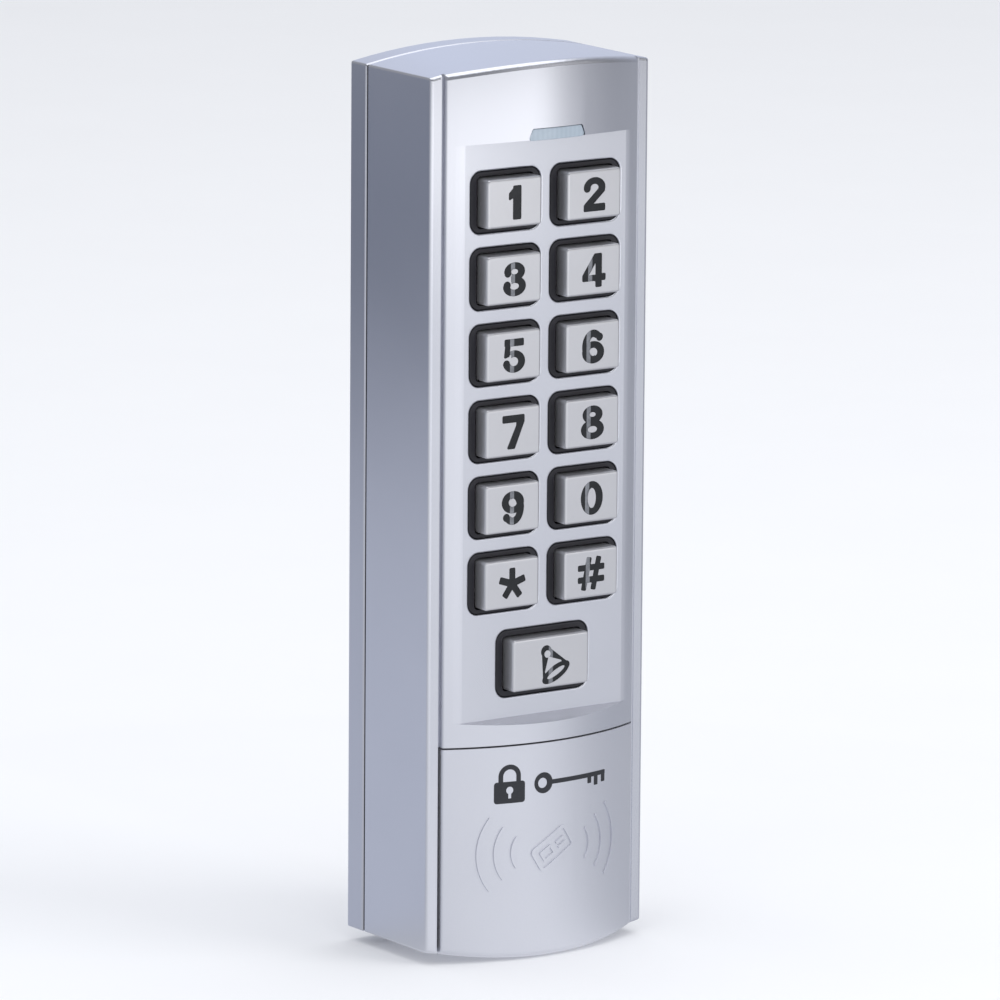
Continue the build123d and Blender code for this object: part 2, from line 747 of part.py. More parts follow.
def make_connector():
    width, height, depth = connector_size
    back = board_back - depth
    shell = block(width, height, back, board_back, z=connector_z)
    first = -(connector_ways - 1) * connector_pitch / 2
    for way in range(connector_ways):
        shell -= block(1.5, 2.4, back, back + 3.5, first + way * connector_pitch, connector_z)
    return shell


def make_sensor():
    """Light sensor that notices when the reader is pulled off the wall."""
    tip = board_back - sensor_height
    body = peg(sensor_radius, tip, board_back, z=sensor_z)
    return fillet(body.faces().sort_by(Axis.Y)[-1].edges(), 0.8)


def key_lamps():
    lamps = []
    for name, column, row, legend, web_x in KEYS:
        x, z = key_place(column, row)
        side = column if column else 1
        width, height, depth = lamp_size
        lamps.append(block(height, width, board_front, board_front + depth, x + side * lamp_offset, z))
    return Compound(children=lamps)


def both_sides(x, rows):
    return [(side * x, z) for side in (-1, 1) for z in rows]


nodes = {
    "wall_bracket": make_bracket(),
    "front_housing": make_housing(),
    "reader_panel": make_reader_panel(),
    "status_lens": make_lens(),
    "keypad_mat": make_mat(),
    "main_board": make_board(),
    "key_lamps": key_lamps(),
    "status_lamp": block(status_lamp_size[0], status_lamp_size[1], board_front,
                         board_front + status_lamp_size[2], z=lens_z),
    "antenna_coil": make_coil(),
    "buzzer": make_buzzer(),
    "controller_chip": make_chip(),
    "cable_connector": make_connector(),
    "tamper_sensor": make_sensor(),
    "rear_cover": make_cover(),
    "rim_seal": make_seal(),
    "cable_grommet": make_grommet(),
    "security_screw": make_security_screw(),
    "board_screws": make_screws(both_sides(board_screw_x, board_screw_rows), board_back, board_thickness),
    "cover_screws": make_screws(both_sides(pillar_x, (-pillar_z, pillar_z)), cover_back, cover_thickness),
    "panel_screws": make_screws(both_sides(panel_screw_x, panel_screw_rows), seat_back, housing_wall),
}

switches = []
for name, column, row, legend, web_x in KEYS:
    x, z = key_place(column, row)
    pocket, size = key_sizes(row)
    shape = legend()
    nodes[f"key_{name}_cap"] = make_cap(x, z, size, shape, web_x)
    nodes[f"key_{name}_legend"] = make_guide(x, z, size, shape, web_x)
    nodes[f"key_{name}_stem"] = make_stem(x, z)
    switches.append(make_switch(x, z))
nodes["switch_bodies"] = Compound(children=switches)

os.makedirs("parts", exist_ok=True)
for name, shape in nodes.items():
    export_step(shape, f"parts/{name}.step")
    box = shape.bounding_box()
    print(name, [round(value, 2) for value in (*box.min, *box.max)], round(shape.volume, 1))
print(len(nodes), "nodes")
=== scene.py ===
# %% [markdown]
# # A slim metal keypad reader
#
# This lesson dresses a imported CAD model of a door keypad: a narrow cast metal body with a bowed front,
# two columns of push keys, a doorbell key and a plastic card-reading panel at the foot.
# The CAD model gives every part's true place and size, so nothing here is fitted by eye. Blender adds what
# CAD can't: the finish of each material, the printed signs, the fine hardware, the light and the camera.

# %% Load the frame
import json
import math

import bpy
from mathutils import Matrix, Vector


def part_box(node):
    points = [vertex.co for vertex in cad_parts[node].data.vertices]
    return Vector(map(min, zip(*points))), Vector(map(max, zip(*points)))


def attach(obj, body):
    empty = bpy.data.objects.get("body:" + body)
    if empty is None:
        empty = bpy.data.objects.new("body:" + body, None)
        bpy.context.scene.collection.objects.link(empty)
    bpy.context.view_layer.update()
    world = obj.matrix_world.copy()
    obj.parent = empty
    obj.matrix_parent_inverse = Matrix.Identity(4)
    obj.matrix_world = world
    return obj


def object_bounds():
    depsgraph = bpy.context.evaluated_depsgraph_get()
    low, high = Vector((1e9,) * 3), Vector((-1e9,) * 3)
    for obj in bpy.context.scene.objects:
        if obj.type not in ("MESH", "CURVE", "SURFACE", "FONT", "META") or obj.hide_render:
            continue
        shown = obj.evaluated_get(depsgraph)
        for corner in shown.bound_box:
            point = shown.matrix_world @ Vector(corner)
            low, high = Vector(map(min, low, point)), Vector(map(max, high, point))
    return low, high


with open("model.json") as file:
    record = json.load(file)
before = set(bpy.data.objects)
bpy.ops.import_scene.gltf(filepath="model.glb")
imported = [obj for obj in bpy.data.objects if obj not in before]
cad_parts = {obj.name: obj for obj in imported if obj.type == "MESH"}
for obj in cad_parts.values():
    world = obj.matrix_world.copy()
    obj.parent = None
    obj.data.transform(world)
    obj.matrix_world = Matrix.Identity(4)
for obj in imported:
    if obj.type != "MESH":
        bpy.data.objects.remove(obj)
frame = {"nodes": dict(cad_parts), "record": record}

MM = 0.001
cad_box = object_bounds()
nodes = frame["nodes"]
record = frame["record"]
slot_of = {part["node"]: part["material_slot"] for part in record["subparts"]}
print("CAD nodes:", len(nodes), "box:", [tuple(round(v / MM, 2) for v in corner) for corner in cad_box])


# %% [markdown]
# ## Writing shader maths as Python
#
# A node tree is a wiring diagram, and long sums are hard to read in it. A small class that wraps a socket
# lets us write `0.3 + 0.1 * grain` and get the Math nodes for it. Any other node comes from one method that
# takes the node's type, its settings and its inputs.

# %% A socket that does sums
class Signal:
    """An output socket. Arithmetic on it adds Math nodes to its tree."""

    def __init__(self, tree, socket):
        self.tree = tree
        self.socket = socket

    def maths(self, operation, *values):
        node = self.tree.nodes.new("ShaderNodeMath")
        node.operation = operation
        for slot, value in zip(node.inputs, values):
            if isinstance(value, Signal):
                self.tree.links.new(value.socket, slot)
            else:
                slot.default_value = value
        return Signal(self.tree, node.outputs[0])

    def __add__(self, other):
        return self.maths("ADD", self, other)

    def __sub__(self, other):
        return self.maths("SUBTRACT", self, other)

    def __rsub__(self, other):
        return self.maths("SUBTRACT", other, self)

    def __mul__(self, other):
        return self.maths("MULTIPLY", self, other)

    __radd__ = __add__
    __rmul__ = __mul__

    def above(self, limit):
        return self.maths("GREATER_THAN", self, limit)

    def size(self):
        return self.maths("ABSOLUTE", self)

    def wave(self, period):
        """-1 to 1, once every period."""
        return self.maths("SINE", self * (2 * math.pi / period))


# %% A finish is a material with one main shader
class Finish:
    """A procedural material: one Principled shader and whatever feeds it."""

    def __init__(self, name, **constants):
        self.material = bpy.data.materials.new(name)
        self.material.use_nodes = True
        self.tree = self.material.node_tree
        self.shader = self.tree.nodes["Principled BSDF"]
        for socket, value in constants.items():
            self.shader.inputs[socket.replace("_", " ")].default_value = value

    def add(self, kind, settings=None, inputs=None, output=0):
        """Any node: its type, its settings, and the values or links of its sockets."""
        node = self.tree.nodes.new(kind)
        for name, value in (settings or {}).items():
            if name == "stops":
                for extra in value[2:]:
                    node.color_ramp.elements.new(extra[0])
                for element, (position, colour) in zip(node.color_ramp.elements, value):
                    element.position = position
                    element.color = colour
            else:
                setattr(node, name, value)
        for name, value in (inputs or {}).items():
            if isinstance(value, Signal):
                self.tree.links.new(value.socket, node.inputs[name])
            else:
                node.inputs[name].default_value = value
        return Signal(self.tree, node.outputs[output])

    def feed(self, socket, signal):
        self.tree.links.new(signal.socket, self.shader.inputs[socket])

    def place(self):
        return self.add("ShaderNodeTexCoord", output="Object")

    def axes(self):
        split = self.add("ShaderNodeSeparateXYZ", inputs={"Vector": self.place()})
        return [Signal(self.tree, socket) for socket in split.socket.node.outputs]

    def noise(self, size, detail=3.0, rough=0.5, stretch=(1, 1, 1)):
        """Noise with features about `size` metres across, 0 to 1."""
        spread = self.add("ShaderNodeMapping", inputs={
            "Vector": self.place(), "Scale": stretch})
        return self.add("ShaderNodeTexNoise", inputs={
            "Vector": spread, "Scale": 1.0 / size, "Detail": detail, "Roughness": rough})

    def blend(self, factor, low, high):
        """Colour that runs from low to high as factor runs from 0 to 1."""
        return self.add("ShaderNodeMix", {"data_type": "RGBA"}, {0: factor, 6: low, 7: high}, output=2)

    def ramp(self, factor, stops):
        """Colour read from evenly mixed stops of (position, colour)."""
        return self.add("ShaderNodeValToRGB", {"stops": stops}, {"Fac": factor})

    def bumps(self, height, depth, strength):
        self.feed("Normal", self.add("ShaderNodeBump", inputs={
            "Height": height, "Distance": depth, "Strength": strength}))


print("shader helpers ready")


# %% [markdown]
# ## Satin silver metal
#
# The body is cast zinc alloy with a satin silver lacquer. Lacquered metal has three scales of detail: very
# fine flakes that sparkle in the grain, an orange-peel ripple left by the spray, and a faint cloudiness
# where hands polish it. Each one is a noise texture on Object coordinates, so it stays with the part.

# %% Satin metal finish
def satin_metal(name, light, dark, rough):
    finish = Finish(name, Metallic=0.92, Coat_Weight=0.25, Coat_Roughness=0.12)
    cloud = finish.noise(22 * MM, detail=2.0)
    flake = finish.noise(0.12 * MM, detail=1.0, rough=0.7)
    peel = finish.noise(0.9 * MM, detail=2.0)
    finish.feed("Base Color", finish.blend(0.65 * cloud + 0.35 * flake, dark, light))
    finish.feed("Roughness", rough + 0.05 * cloud + 0.05 * flake)
    finish.bumps(0.8 * peel + 0.2 * flake, 0.004 * MM, 0.35)
    return finish.material


housing_metal = satin_metal("satin silver housing", (0.74, 0.75, 0.80, 1), (0.66, 0.67, 0.72, 1), 0.20)
bracket_metal = satin_metal("satin silver bracket", (0.68, 0.69, 0.74, 1), (0.60, 0.61, 0.66, 1), 0.24)


# %% [markdown]
# ## Silver paint on plastic
#
# The card-reading panel can't be metal, because a radio field has to pass through it. It is plastic sprayed
# to match the casting, and the match is close but not perfect: the paint is a little duller, with coarser
# flakes and no clear lacquer.

# %% Painted panel finish
def silver_paint():
    finish = Finish("silver paint on plastic", Metallic=0.80, Coat_Weight=0.10, Coat_Roughness=0.25)
    cloud = finish.noise(30 * MM, detail=2.0)
    flake = finish.noise(0.16 * MM, detail=1.0, rough=0.8)
    finish.feed("Base Color", finish.blend(
        0.6 * cloud + 0.4 * flake, (0.62, 0.63, 0.68, 1), (0.72, 0.73, 0.78, 1)))
    finish.feed("Roughness", 0.28 + 0.06 * flake)
    finish.bumps(flake, 0.004 * MM, 0.4)
    return finish.material


# %% [markdown]
# ## Satin nickel keys
#
# The caps are plated and then bead-blasted, which leaves a fine even grain. The sides and edges are touched
# thousands of times, so a slow cloud makes them a little smoother in places.

# %% Key finish
def satin_nickel():
    finish = Finish("satin nickel keys", Metallic=0.85, Coat_Weight=0.08, Coat_Roughness=0.2)
    grain = finish.noise(0.09 * MM, detail=2.0, rough=0.7)
    wear = finish.noise(5 * MM, detail=3.0)
    finish.feed("Base Color", finish.blend(
        0.5 * grain + 0.5 * wear, (0.57, 0.57, 0.59, 1), (0.67, 0.67, 0.69, 1)))
    finish.feed("Roughness", 0.30 + 0.08 * grain - 0.05 * wear)
    finish.bumps(grain, 0.003 * MM, 0.5)
    return finish.material


# %% [markdown]
# ## Smoked resin and silicone
#
# Each digit is cut right through its cap and filled with smoked resin, so that a lamp behind can shine
# through it. Thin webs of metal hold the loose middles of the digits, and they show as paler patches where
# the resin over them is thin. The rubber round the caps is one black silicone mat with a faint bloom.

# %% Dark finishes
def smoked_resin():
    finish = Finish("smoked resin", Roughness=0.14, IOR=1.42)
    swirl = finish.noise(1.6 * MM, detail=3.0)
    finish.feed("Base Color", finish.blend(swirl, (0.004, 0.005, 0.006, 1), (0.016, 0.018, 0.021, 1)))
    finish.bumps(finish.noise(0.8 * MM, detail=2.0), 0.03 * MM, 0.5)
    return finish.material


def silicone():
    finish = Finish("black silicone", IOR=1.42)
    bloom = finish.noise(3 * MM, detail=4.0)
    grain = finish.noise(0.07 * MM, detail=2.0)
    finish.feed("Base Color", finish.blend(bloom, (0.010, 0.010, 0.014, 1), (0.022, 0.021, 0.028, 1)))
    finish.feed("Roughness", 0.42 + 0.14 * bloom)
    finish.bumps(grain, 0.006 * MM, 0.5)
    return finish.material


def milky_window():
    finish = Finish("milky status window", Roughness=0.22, IOR=1.58, Coat_Weight=0.5, Coat_Roughness=0.1)
    ribs = finish.axes()[0].wave(0.9 * MM) * 0.5 + 0.5
    cloud = finish.noise(2.5 * MM, detail=2.0)
    finish.feed("Base Color", finish.blend(
        0.7 * cloud + 0.3 * ribs, (0.33, 0.40, 0.47, 1), (0.42, 0.49, 0.56, 1)))
    finish.bumps(ribs, 0.01 * MM, 0.3)
    return finish.material


# %% [markdown]
# ## The hidden parts
#
# Nobody sees the board until the reader is opened, but its materials should still be right: a green solder
# mask with copper tracks under it, moulded plastics with a fine spark-eroded grain, enamelled copper wire
# and turned steel.

# %% Electronics finishes
def solder_mask():
    finish = Finish("green solder mask", Roughness=0.32, IOR=1.5, Coat_Weight=0.4, Coat_Roughness=0.2)
    x, _, z = finish.axes()
    lanes = x.wave(1.27 * MM).above(0.55)
    crossings = z.wave(2.54 * MM).above(0.7)
    patches = finish.noise(9 * MM, detail=0.0).above(0.5)
    tracks = lanes * patches + crossings * (1 - patches)
    finish.feed("Base Color", finish.blend(tracks, (0.008, 0.075, 0.03, 1), (0.02, 0.15, 0.06, 1)))
    finish.bumps(tracks, 0.03 * MM, 0.6)
    return finish.material


def moulded(name, low, high, rough=0.42):
    finish = Finish(name, IOR=1.5)
    grain = finish.noise(0.15 * MM, detail=3.0)
    flow = finish.noise(8 * MM, detail=2.0)
    finish.feed("Base Color", finish.blend(0.5 * grain + 0.5 * flow, low, high))
    finish.feed("Roughness", rough + 0.12 * grain)
    finish.bumps(grain, 0.01 * MM, 0.5)
    return finish.material


def wound_copper():
    finish = Finish("enamelled copper winding", Metallic=0.9, Coat_Weight=0.5, Coat_Roughness=0.1)
    x, _, z = finish.axes()
    turns = (x.size() + z.size()).wave(0.32 * MM) * 0.5 + 0.5
    finish.feed("Base Color", finish.blend(turns, (0.30, 0.11, 0.05, 1), (0.78, 0.36, 0.19, 1)))
    finish.feed("Roughness", 0.38 - 0.12 * turns)
    finish.bumps(turns, 0.05 * MM, 0.8)
    return finish.material


def turned_steel():
    finish = Finish("stainless steel screws", Metallic=1.0)
    grain = finish.noise(0.2 * MM, detail=3.0, stretch=(1, 6, 1))
    finish.feed("Base Color", finish.blend(grain, (0.50, 0.50, 0.50, 1), (0.62, 0.62, 0.63, 1)))
    finish.feed("Roughness", 0.24 + 0.14 * grain)
    finish.bumps(grain, 0.008 * MM, 0.4)
    return finish.material


# %% Give every CAD part its finish
finishes = {
    "bracket_metal": bracket_metal,
    "housing_metal": housing_metal,
    "panel_plastic": silver_paint(),
    "lens_plastic": milky_window(),
    "mat_rubber": silicone(),
    "board_laminate": solder_mask(),
    "switch_plastic": moulded("black switch plastic", (0.015, 0.015, 0.016, 1), (0.03, 0.03, 0.032, 1)),
    "lamp_plastic": moulded("lamp resin", (0.62, 0.58, 0.42, 1), (0.80, 0.77, 0.62, 1), 0.2),
    "coil_copper": wound_copper(),
    "connector_plastic": moulded("natural nylon", (0.66, 0.64, 0.56, 1), (0.78, 0.76, 0.69, 1)),
    "cover_plastic": moulded("black rear cover", (0.018, 0.018, 0.02, 1), (0.035, 0.035, 0.038, 1), 0.5),
    "screw_steel": turned_steel(),
    "key_metal": satin_nickel(),
    "legend_resin": smoked_resin(),
    "stem_plastic": moulded("red switch stem", (0.30, 0.03, 0.02, 1), (0.42, 0.05, 0.03, 1)),
}
for name, part in nodes.items():
    part.data.materials.clear()
    part.data.materials.append(finishes[slot_of[name]])
print("finishes:", len(finishes))


# %% [markdown]
# ## Helpers for new pieces
#
# The new pieces are a few millimetres across, and Blender's operators are happier with sizes near one. So
# each is modelled with one unit for one millimetre, then scaled down to metres, and the scale is applied.
# Booleans join and cut the simple solids, as a machinist would build a sign from plate.

# %% Selecting in code
def clear_selection():
    bpy.ops.object.select_all(action="DESELECT")


def take(piece):
    """Make one object the selected and active one."""
    clear_selection()
    bpy.context.view_layer.objects.active = piece
    piece.select_set(True)


def pick(piece, kind, wanted):
    """Go to edit mode with only the wanted faces or edges selected."""
    take(piece)
    bpy.ops.object.mode_set(mode="EDIT")
    bpy.ops.mesh.select_mode(type=kind)
    bpy.ops.mesh.select_all(action="DESELECT")
    bpy.ops.object.mode_set(mode="OBJECT")
    for item in (piece.data.polygons if kind == "FACE" else piece.data.edges):
        item.select = wanted(item)
    bpy.ops.object.mode_set(mode="EDIT")


# %% Small solids in millimetres
# Every block of a sign starts between the same two planes, well in front of and behind the panel's face.
# Its `over` is how far it reaches past both. Each block has its own, so that no two faces coincide.
SIGN_FRONT = -30.0
SIGN_BACK = -22.0
SIGN_MIDDLE = (SIGN_FRONT + SIGN_BACK) / 2
SIGN_DEPTH = SIGN_BACK - SIGN_FRONT


def post(x, z, radius, over=0.0):
    """Round bar along Y."""
    clear_selection()
    bpy.ops.mesh.primitive_cylinder_add(
        vertices=64, radius=radius, depth=SIGN_DEPTH + 2 * over, location=(x, SIGN_MIDDLE, z),
        rotation=(math.pi / 2, 0, 0))
    bpy.ops.object.transform_apply(location=True, rotation=True, scale=True)
    return bpy.context.object


def plate(left, bottom, right, top, corner, over=0.0):
    """Block whose four corners in the front view are rounded."""
    clear_selection()
    depth = SIGN_DEPTH + 2 * over
    bpy.ops.mesh.primitive_cube_add(
        size=1.0, location=((left + right) / 2, SIGN_MIDDLE, (bottom + top) / 2),
        scale=(right - left, depth, top - bottom))
    bpy.ops.object.transform_apply(location=True, rotation=True, scale=True)
    block = bpy.context.object

    def runs_back(edge):
        start, end = (block.data.vertices[index].co for index in edge.vertices)
        return abs(start.y - end.y) > depth / 2

    pick(block, "EDGE", runs_back)
    bpy.ops.mesh.bevel(offset=corner, segments=5)
    bpy.ops.object.mode_set(mode="OBJECT")
    return block


def carve(body, tool, operation):
    """Join, cut or keep the overlap of two solids, and drop the tool."""
    step = body.modifiers.new("carve", "BOOLEAN")
    step.operation = operation
    step.solver = "EXACT"
    step.object = tool
    take(body)
    bpy.ops.object.modifier_apply(modifier=step.name)
    bpy.data.objects.remove(tool, do_unlink=True)
    return body


def settle(piece, name, body, material, in_millimetres=True):
    """Name a piece, bring it to metres, smooth it and parent it to its body."""
    take(piece)
    if in_millimetres:
        piece.scale = (MM, MM, MM)
        bpy.ops.object.transform_apply(location=True, rotation=True, scale=True)
    bpy.ops.object.shade_smooth_by_angle(angle=math.radians(35))
    piece.name = name
    piece.data.materials.clear()
    piece.data.materials.append(material)
    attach(piece, body)
    print(name, len(piece.data.polygons), "faces")


# %% [markdown]
# ## Printed signs
#
# A maker prints a badge on the panel. Ours is generic: a padlock and a key, which say "lock" in any
# language. The ink is a real layer, a few hundredths of a millimetre of dark lacquer that follows the
# bowed panel. It could be painted in the material, but a thin solid keeps its crisp edge at any distance.
# Each sign is built as a thick flat plate first. A thin pipe, bowed exactly as the panel is, then cuts out
# the slice of the plate that lies on the surface.

# %% Thin pipe along the bowed panel
CROWN_RADIUS = 41.5
CROWN_DEPTH = 27.9
INK_PROUD = 0.03
INK_THICK = 0.07


def ink_pipe(bottom, top):
    """Thin-walled pipe that coincides with the bowed front, in millimetres."""
    clear_selection()
    bpy.ops.mesh.primitive_cylinder_add(
        vertices=360, radius=CROWN_RADIUS + INK_PROUD, depth=top - bottom,
        location=(0, CROWN_RADIUS - CROWN_DEPTH, (bottom + top) / 2))
    bpy.ops.object.transform_apply(location=True)
    pipe = bpy.context.object
    pick(pipe, "FACE", lambda face: abs(face.normal.z) > 0.9)
    bpy.ops.mesh.inset(thickness=INK_THICK)
    bpy.ops.mesh.bridge_edge_loops()
    bpy.ops.object.mode_set(mode="OBJECT")
    return pipe


def ink():
    finish = Finish("dark printed ink", IOR=1.4)
    speck = finish.noise(0.25 * MM, detail=3.0)
    finish.feed("Base Color", finish.blend(speck, (0.016, 0.017, 0.022, 1), (0.030, 0.032, 0.038, 1)))
    finish.feed("Roughness", 0.40 + 0.15 * speck)
    finish.bumps(speck, 0.004 * MM, 0.4)
    return finish.material


printed_ink = ink()

# %% Padlock sign
LOCK_X = -8.1
LOCK_HALF_WIDTH = 2.7
LOCK_FOOT = -47.7
LOCK_SHOULDER = -44.1
SHACKLE_Z = LOCK_SHOULDER + 0.9
SHACKLE_OUTER = 1.95
SHACKLE_INNER = 1.15
KEYHOLE_Z = LOCK_FOOT + 2.15
KEYHOLE_RADIUS = 0.62
SLIT_HALF_WIDTH = 0.26

padlock = plate(LOCK_X - LOCK_HALF_WIDTH, LOCK_FOOT, LOCK_X + LOCK_HALF_WIDTH, LOCK_SHOULDER, 0.5)
shackle = post(LOCK_X, SHACKLE_Z, SHACKLE_OUTER, over=-0.1)
legs = plate(LOCK_X - SHACKLE_OUTER, LOCK_SHOULDER - 0.5, LOCK_X + SHACKLE_OUTER, SHACKLE_Z, 0.05, over=-0.15)
shackle = carve(shackle, legs, "UNION")
shackle = carve(shackle, post(LOCK_X, SHACKLE_Z, SHACKLE_INNER, over=1), "DIFFERENCE")
throat = plate(LOCK_X - SHACKLE_INNER, LOCK_SHOULDER - 1, LOCK_X + SHACKLE_INNER, SHACKLE_Z, 0.05, over=1.1)
shackle = carve(shackle, throat, "DIFFERENCE")
padlock = carve(padlock, shackle, "UNION")
padlock = carve(padlock, post(LOCK_X, KEYHOLE_Z, KEYHOLE_RADIUS, over=1), "DIFFERENCE")
slit = plate(LOCK_X - SLIT_HALF_WIDTH, LOCK_FOOT + 0.8, LOCK_X + SLIT_HALF_WIDTH, LOCK_FOOT + 2.1,
             0.1, over=1.2)
padlock = carve(padlock, slit, "DIFFERENCE")
padlock = carve(padlock, ink_pipe(LOCK_FOOT - 1, LOCK_SHOULDER + 4), "INTERSECT")
settle(padlock, "printed_padlock_sign", "reader", printed_ink)

# %% Key sign
KEY_Z = -44.9
BOW_X = -1.9
BOW_OUTER = 1.75
BOW_INNER = 0.85
SHAFT_HALF = 0.38
KEY_TIP_X = 11.4
TOOTH_WIDTH = 0.85
TEETH = [(7.3, 1.0), (8.8, 1.5), (10.5, 1.2)]

key_sign = post(BOW_X, KEY_Z, BOW_OUTER)
shaft = plate(BOW_X + 0.9, KEY_Z - SHAFT_HALF, KEY_TIP_X, KEY_Z + SHAFT_HALF, 0.15, over=-0.1)
key_sign = carve(key_sign, shaft, "UNION")
key_sign = carve(key_sign, post(BOW_X - 0.2, KEY_Z, BOW_INNER, over=1), "DIFFERENCE")
for count, (tooth_x, drop) in enumerate(TEETH):
    foot = KEY_Z - SHAFT_HALF - drop
    tooth = plate(tooth_x, foot, tooth_x + TOOTH_WIDTH, KEY_Z, 0.12, over=-0.15 - 0.05 * count)
    key_sign = carve(key_sign, tooth, "UNION")
key_sign = carve(key_sign, ink_pipe(KEY_Z - 3, KEY_Z + 3), "INTERSECT")
settle(key_sign, "printed_key_sign", "reader", printed_ink)


# %% [markdown]
# ## Thin resin over the webs
#
# Where a web of metal crosses a cut digit it lies a little below the face, and the resin that fills the
# digit runs over it in a thin film. Through so little resin the metal shows as a paler, smoky patch. The
# film has exactly the outline of the web, so the quickest honest way is to copy the web's own faces from
# the cap, lift them to the resin's level and give them thickness.

# %% Smoky film
def thin_resin():
    finish = Finish("thin resin over metal", IOR=1.45, Coat_Weight=0.3, Coat_Roughness=0.08)
    smoke = finish.noise(0.9 * MM, detail=3.0)
    finish.feed("Base Color", finish.blend(smoke, (0.07, 0.075, 0.085, 1), (0.36, 0.37, 0.40, 1)))
    finish.feed("Metallic", 0.25 + 0.4 * smoke)
    finish.feed("Roughness", 0.16 + 0.12 * smoke)
    finish.bumps(finish.noise(0.5 * MM, detail=2.0), 0.02 * MM, 0.5)
    return finish.material


WEB_SINK = 0.25 * MM
WEB_TOLERANCE = 0.004 * MM
FILM_TOP = 0.10 * MM
film_finish = thin_resin()
films = 0
for cap_name in sorted(name for name in nodes if name.endswith("_cap")):
    web_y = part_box(cap_name)[0][1] + WEB_SINK
    film = bpy.data.objects.new(cap_name.replace("_cap", "_web_film"), nodes[cap_name].data.copy())
    bpy.context.scene.collection.objects.link(film)
    take(film)
    bpy.ops.object.mode_set(mode="EDIT")
    bpy.ops.mesh.select_all(action="SELECT")
    bpy.ops.mesh.remove_doubles(threshold=0.001 * MM)
    bpy.ops.object.mode_set(mode="OBJECT")
    pick(film, "FACE", lambda face: abs(face.center.y - web_y) > WEB_TOLERANCE or face.normal.y > -0.99)
    bpy.ops.mesh.delete(type="FACE")
    bpy.ops.object.mode_set(mode="OBJECT")
    if not film.data.polygons:
        bpy.data.objects.remove(film, do_unlink=True)
        continue
    bpy.ops.object.mode_set(mode="EDIT")
    bpy.ops.mesh.select_all(action="SELECT")
    bpy.ops.mesh.dissolve_limited(angle_limit=math.radians(1))
    bpy.ops.mesh.extrude_region_move(TRANSFORM_OT_translate={"value": (0, -(WEB_SINK - FILM_TOP), 0)})
    bpy.ops.mesh.select_all(action="SELECT")
    bpy.ops.mesh.normals_make_consistent(inside=False)
    bpy.ops.object.mode_set(mode="OBJECT")
    settle(film, film.name, cap_name.replace("_cap", ""), film_finish, in_millimetres=False)
    films += 1
print("web films:", films)


# %% [markdown]
# ## Floor, light and camera
#
# A product table is a pale sweep under very large soft lights. Satin metal shows its surroundings more than
# its own colour, so what stands round the set matters as much as the lamps. Here a round tent of cloth stands
# about the reader, open at the top. Its cloth is painted in bands, bright in front and grey at the sides, and
# only reflections see it, so it shapes the metal without shading the table.

# %% Pale floor
FLOOR_GAP = 0.2 * MM

floor_z = cad_box[0][2] - FLOOR_GAP
bpy.ops.mesh.primitive_plane_add(size=12.0, location=(0, 0, floor_z))
floor = bpy.context.object
floor.name = "pale_floor"
paper = Finish("white paper", Roughness=0.9)
paper.feed("Base Color", paper.blend(paper.noise(40 * MM), (0.91, 0.91, 0.92, 1), (0.93, 0.93, 0.94, 1)))
floor.data.materials.append(paper.material)


# %% Light tent
# Only mirror-like rays see this paper drum. Its tone round the object, in degrees from the front towards
# the right, and its tone from low to high on the left, paint the reflections of the metal.
TENT_RADIUS = 160 * MM
TENT_TOP = 240 * MM
TENT_LIFT = 0.1 * MM
TENT_GLOW = 1.8


def grey(tone, blue=0.06):
    """Tent paper of a given brightness, slightly cool."""
    level = tone / TENT_GLOW
    return level * (1 - blue), level * (1 - blue / 2), level * (1 + blue), 1


def about(degrees):
    """Ramp position of a direction: degrees from the front, positive to the right."""
    return 0.5 + degrees / 360


def up_the_tent(level):
    """Ramp position of a height."""
    return (level - floor_z) / (TENT_TOP - floor_z)


tent_foot = floor_z + TENT_LIFT
clear_selection()
bpy.ops.mesh.primitive_cylinder_add(
    vertices=96, radius=TENT_RADIUS, depth=TENT_TOP - tent_foot, location=(0, 0, (TENT_TOP + tent_foot) / 2))
tent = bpy.context.object
tent.name = "light_tent"
bpy.ops.object.transform_apply(location=True)
pick(tent, "FACE", lambda face: face.normal.z > 0.9)
bpy.ops.mesh.delete(type="FACE")
bpy.ops.object.mode_set(mode="OBJECT")
for rays in ("camera", "shadow", "diffuse"):
    setattr(tent, "visible_" + rays, False)
drum = Finish("tent paper", Roughness=1.0, Emission_Strength=TENT_GLOW)
drum.shader.inputs["Base Color"].default_value = (0, 0, 0, 1)
x, y, z = drum.axes()
turn_about = x.maths("ARCTAN2", x, 0 - y) * (0.5 / math.pi) + 0.5
height = (z - floor_z) * (1 / (TENT_TOP - floor_z))
low_round = drum.ramp(turn_about, [
    (about(-180), grey(0.35)), (about(-70), grey(0.55)), (about(-20), grey(0.84, 0.04)),
    (about(14), grey(0.86, 0.04)), (about(30), grey(0.72, 0.05)), (about(43), grey(0.56)),
    (about(61), grey(0.46, 0.08)), (about(125), grey(0.45)), (about(180), grey(0.35))])
middle_round = drum.ramp(turn_about, [
    (about(-180), grey(0.35)), (about(-70), grey(0.55)), (about(-20), grey(1.02, 0.03)),
    (about(10), grey(1.0, 0.03)), (about(24), grey(0.78, 0.04)), (about(34), grey(0.76, 0.05)),
    (about(44), grey(0.50)), (about(61), grey(0.40, 0.08)), (about(180), grey(0.35))])
upper_round = drum.ramp(turn_about, [
    (about(-180), grey(0.35)), (about(-70), grey(0.55)), (about(-20), grey(1.55, 0.01)),
    (about(20), grey(1.60, 0.01)), (about(31), grey(0.80, 0.03)), (about(43), grey(0.46)),
    (about(61), grey(0.36, 0.08)), (about(125), grey(0.45)), (about(180), grey(0.35))])
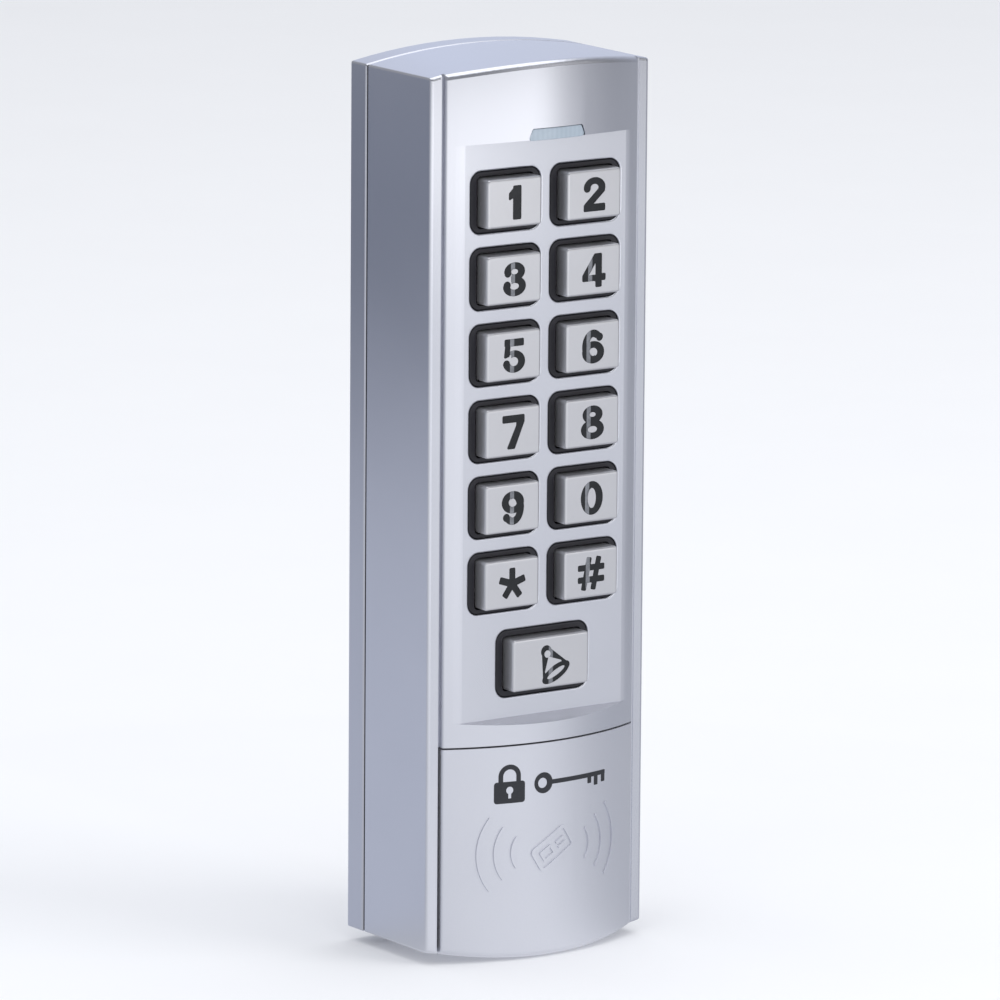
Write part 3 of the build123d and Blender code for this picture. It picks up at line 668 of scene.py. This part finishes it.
left = drum.ramp(height, [
    (up_the_tent(-60 * MM), grey(0.57, 0.12)), (up_the_tent(-30 * MM), grey(0.50, 0.12)),
    (up_the_tent(10 * MM), grey(0.20, 0.2)), (up_the_tent(35 * MM), grey(0.22, 0.2)),
    (1.0, grey(0.32, 0.2))])
above = drum.ramp(turn_about, [
    (about(-180), grey(0.35)), (about(-60), grey(0.26)), (about(60), grey(0.14)),
    (about(110), grey(0.55, 0.12)), (about(150), grey(0.78, 0.14)), (about(180), grey(0.5))])


def fade(signal, start, end):
    """0 to 1 as a signal runs from start to end."""
    return drum.add("ShaderNodeMapRange", None, {"Value": signal, "From Min": start, "From Max": end})


lower_half = drum.blend(fade(z, -62 * MM, -40 * MM), low_round, middle_round)
around = drum.blend(fade(z, 18 * MM, 34 * MM), lower_half, upper_round)
on_left = fade(turn_about, about(-75), about(-105))
high_up = fade(z, 50 * MM, 66 * MM)
drum.feed("Emission Color", drum.blend(high_up, drum.blend(on_left, around, left), above))
tent.data.materials.append(drum.material)
print("tent:", round(TENT_RADIUS / MM), "mm radius")


# %% Soft lights
def soft_light(name, place, size, power, tint):
    """Rectangular lamp that faces the reader."""
    lamp = bpy.data.lights.new(name, "AREA")
    lamp.shape = "RECTANGLE"
    lamp.size, lamp.size_y = size
    lamp.energy = power
    lamp.color = tint
    holder = bpy.data.objects.new(name, lamp)
    holder.location = place
    holder.rotation_euler = (-Vector(place)).to_track_quat("-Z", "Y").to_euler()
    bpy.context.scene.collection.objects.link(holder)


soft_light("overhead_softbox", (0.1, 0.0, 1.3), (1.6, 1.6), 8.0, (0.94, 0.96, 1.0))
soft_light("front_softbox", (0.75, -1.15, 0.55), (0.8, 1.0), 6.0, (1.0, 0.99, 0.98))
soft_light("left_fill", (-1.3, -0.5, 0.5), (0.8, 1.2), 1.5, (0.96, 0.98, 1.0))

world = bpy.data.worlds.new("studio room")
world.use_nodes = True
room = world.node_tree.nodes["Background"]
room.inputs["Color"].default_value = (0.94, 0.96, 1.0, 1)
room.inputs["Strength"].default_value = 0.72
bpy.context.scene.world = world
bpy.context.scene.view_settings.view_transform = "Standard"


# %% [markdown]
# ## The camera
#
# A tall narrow object seen from close by would taper, so the camera stands well back with a long lens. It is
# turned to the reader's left and raised a little, which shows the side, the top and the key caps' height.
# Its directions are built as three vectors, and together they make the camera's matrix.

# %% Camera
AZIMUTH = math.radians(-34.85)
ELEVATION = math.radians(11.15)
ROLL = math.radians(0.417)
DISTANCE = 1541 * MM
SHIFT_RIGHT = 6.894 * MM
SHIFT_UP = -2.679 * MM
FOCAL_LENGTH = 336.9
SENSOR_WIDTH = 36.0
FAR_CLIP = 50.0

back = Vector((math.sin(AZIMUTH) * math.cos(ELEVATION), -math.cos(AZIMUTH) * math.cos(ELEVATION),
               math.sin(ELEVATION)))
side = Vector((math.cos(AZIMUTH), math.sin(AZIMUTH), 0))
over = back.cross(side)
right = side * math.cos(ROLL) + over * math.sin(ROLL)
up = over * math.cos(ROLL) - side * math.sin(ROLL)
camera_data = bpy.data.cameras.new("camera")
camera_data.sensor_width = SENSOR_WIDTH
camera_data.lens = FOCAL_LENGTH
camera_data.clip_end = FAR_CLIP
camera = bpy.data.objects.new("camera", camera_data)
turn = Matrix((right, up, back)).transposed().to_4x4()
camera.matrix_world = Matrix.Translation(back * DISTANCE + right * SHIFT_RIGHT + up * SHIFT_UP) @ turn
bpy.context.scene.collection.objects.link(camera)
bpy.context.scene.camera = camera
print("camera at", [round(v, 3) for v in camera.matrix_world.translation])
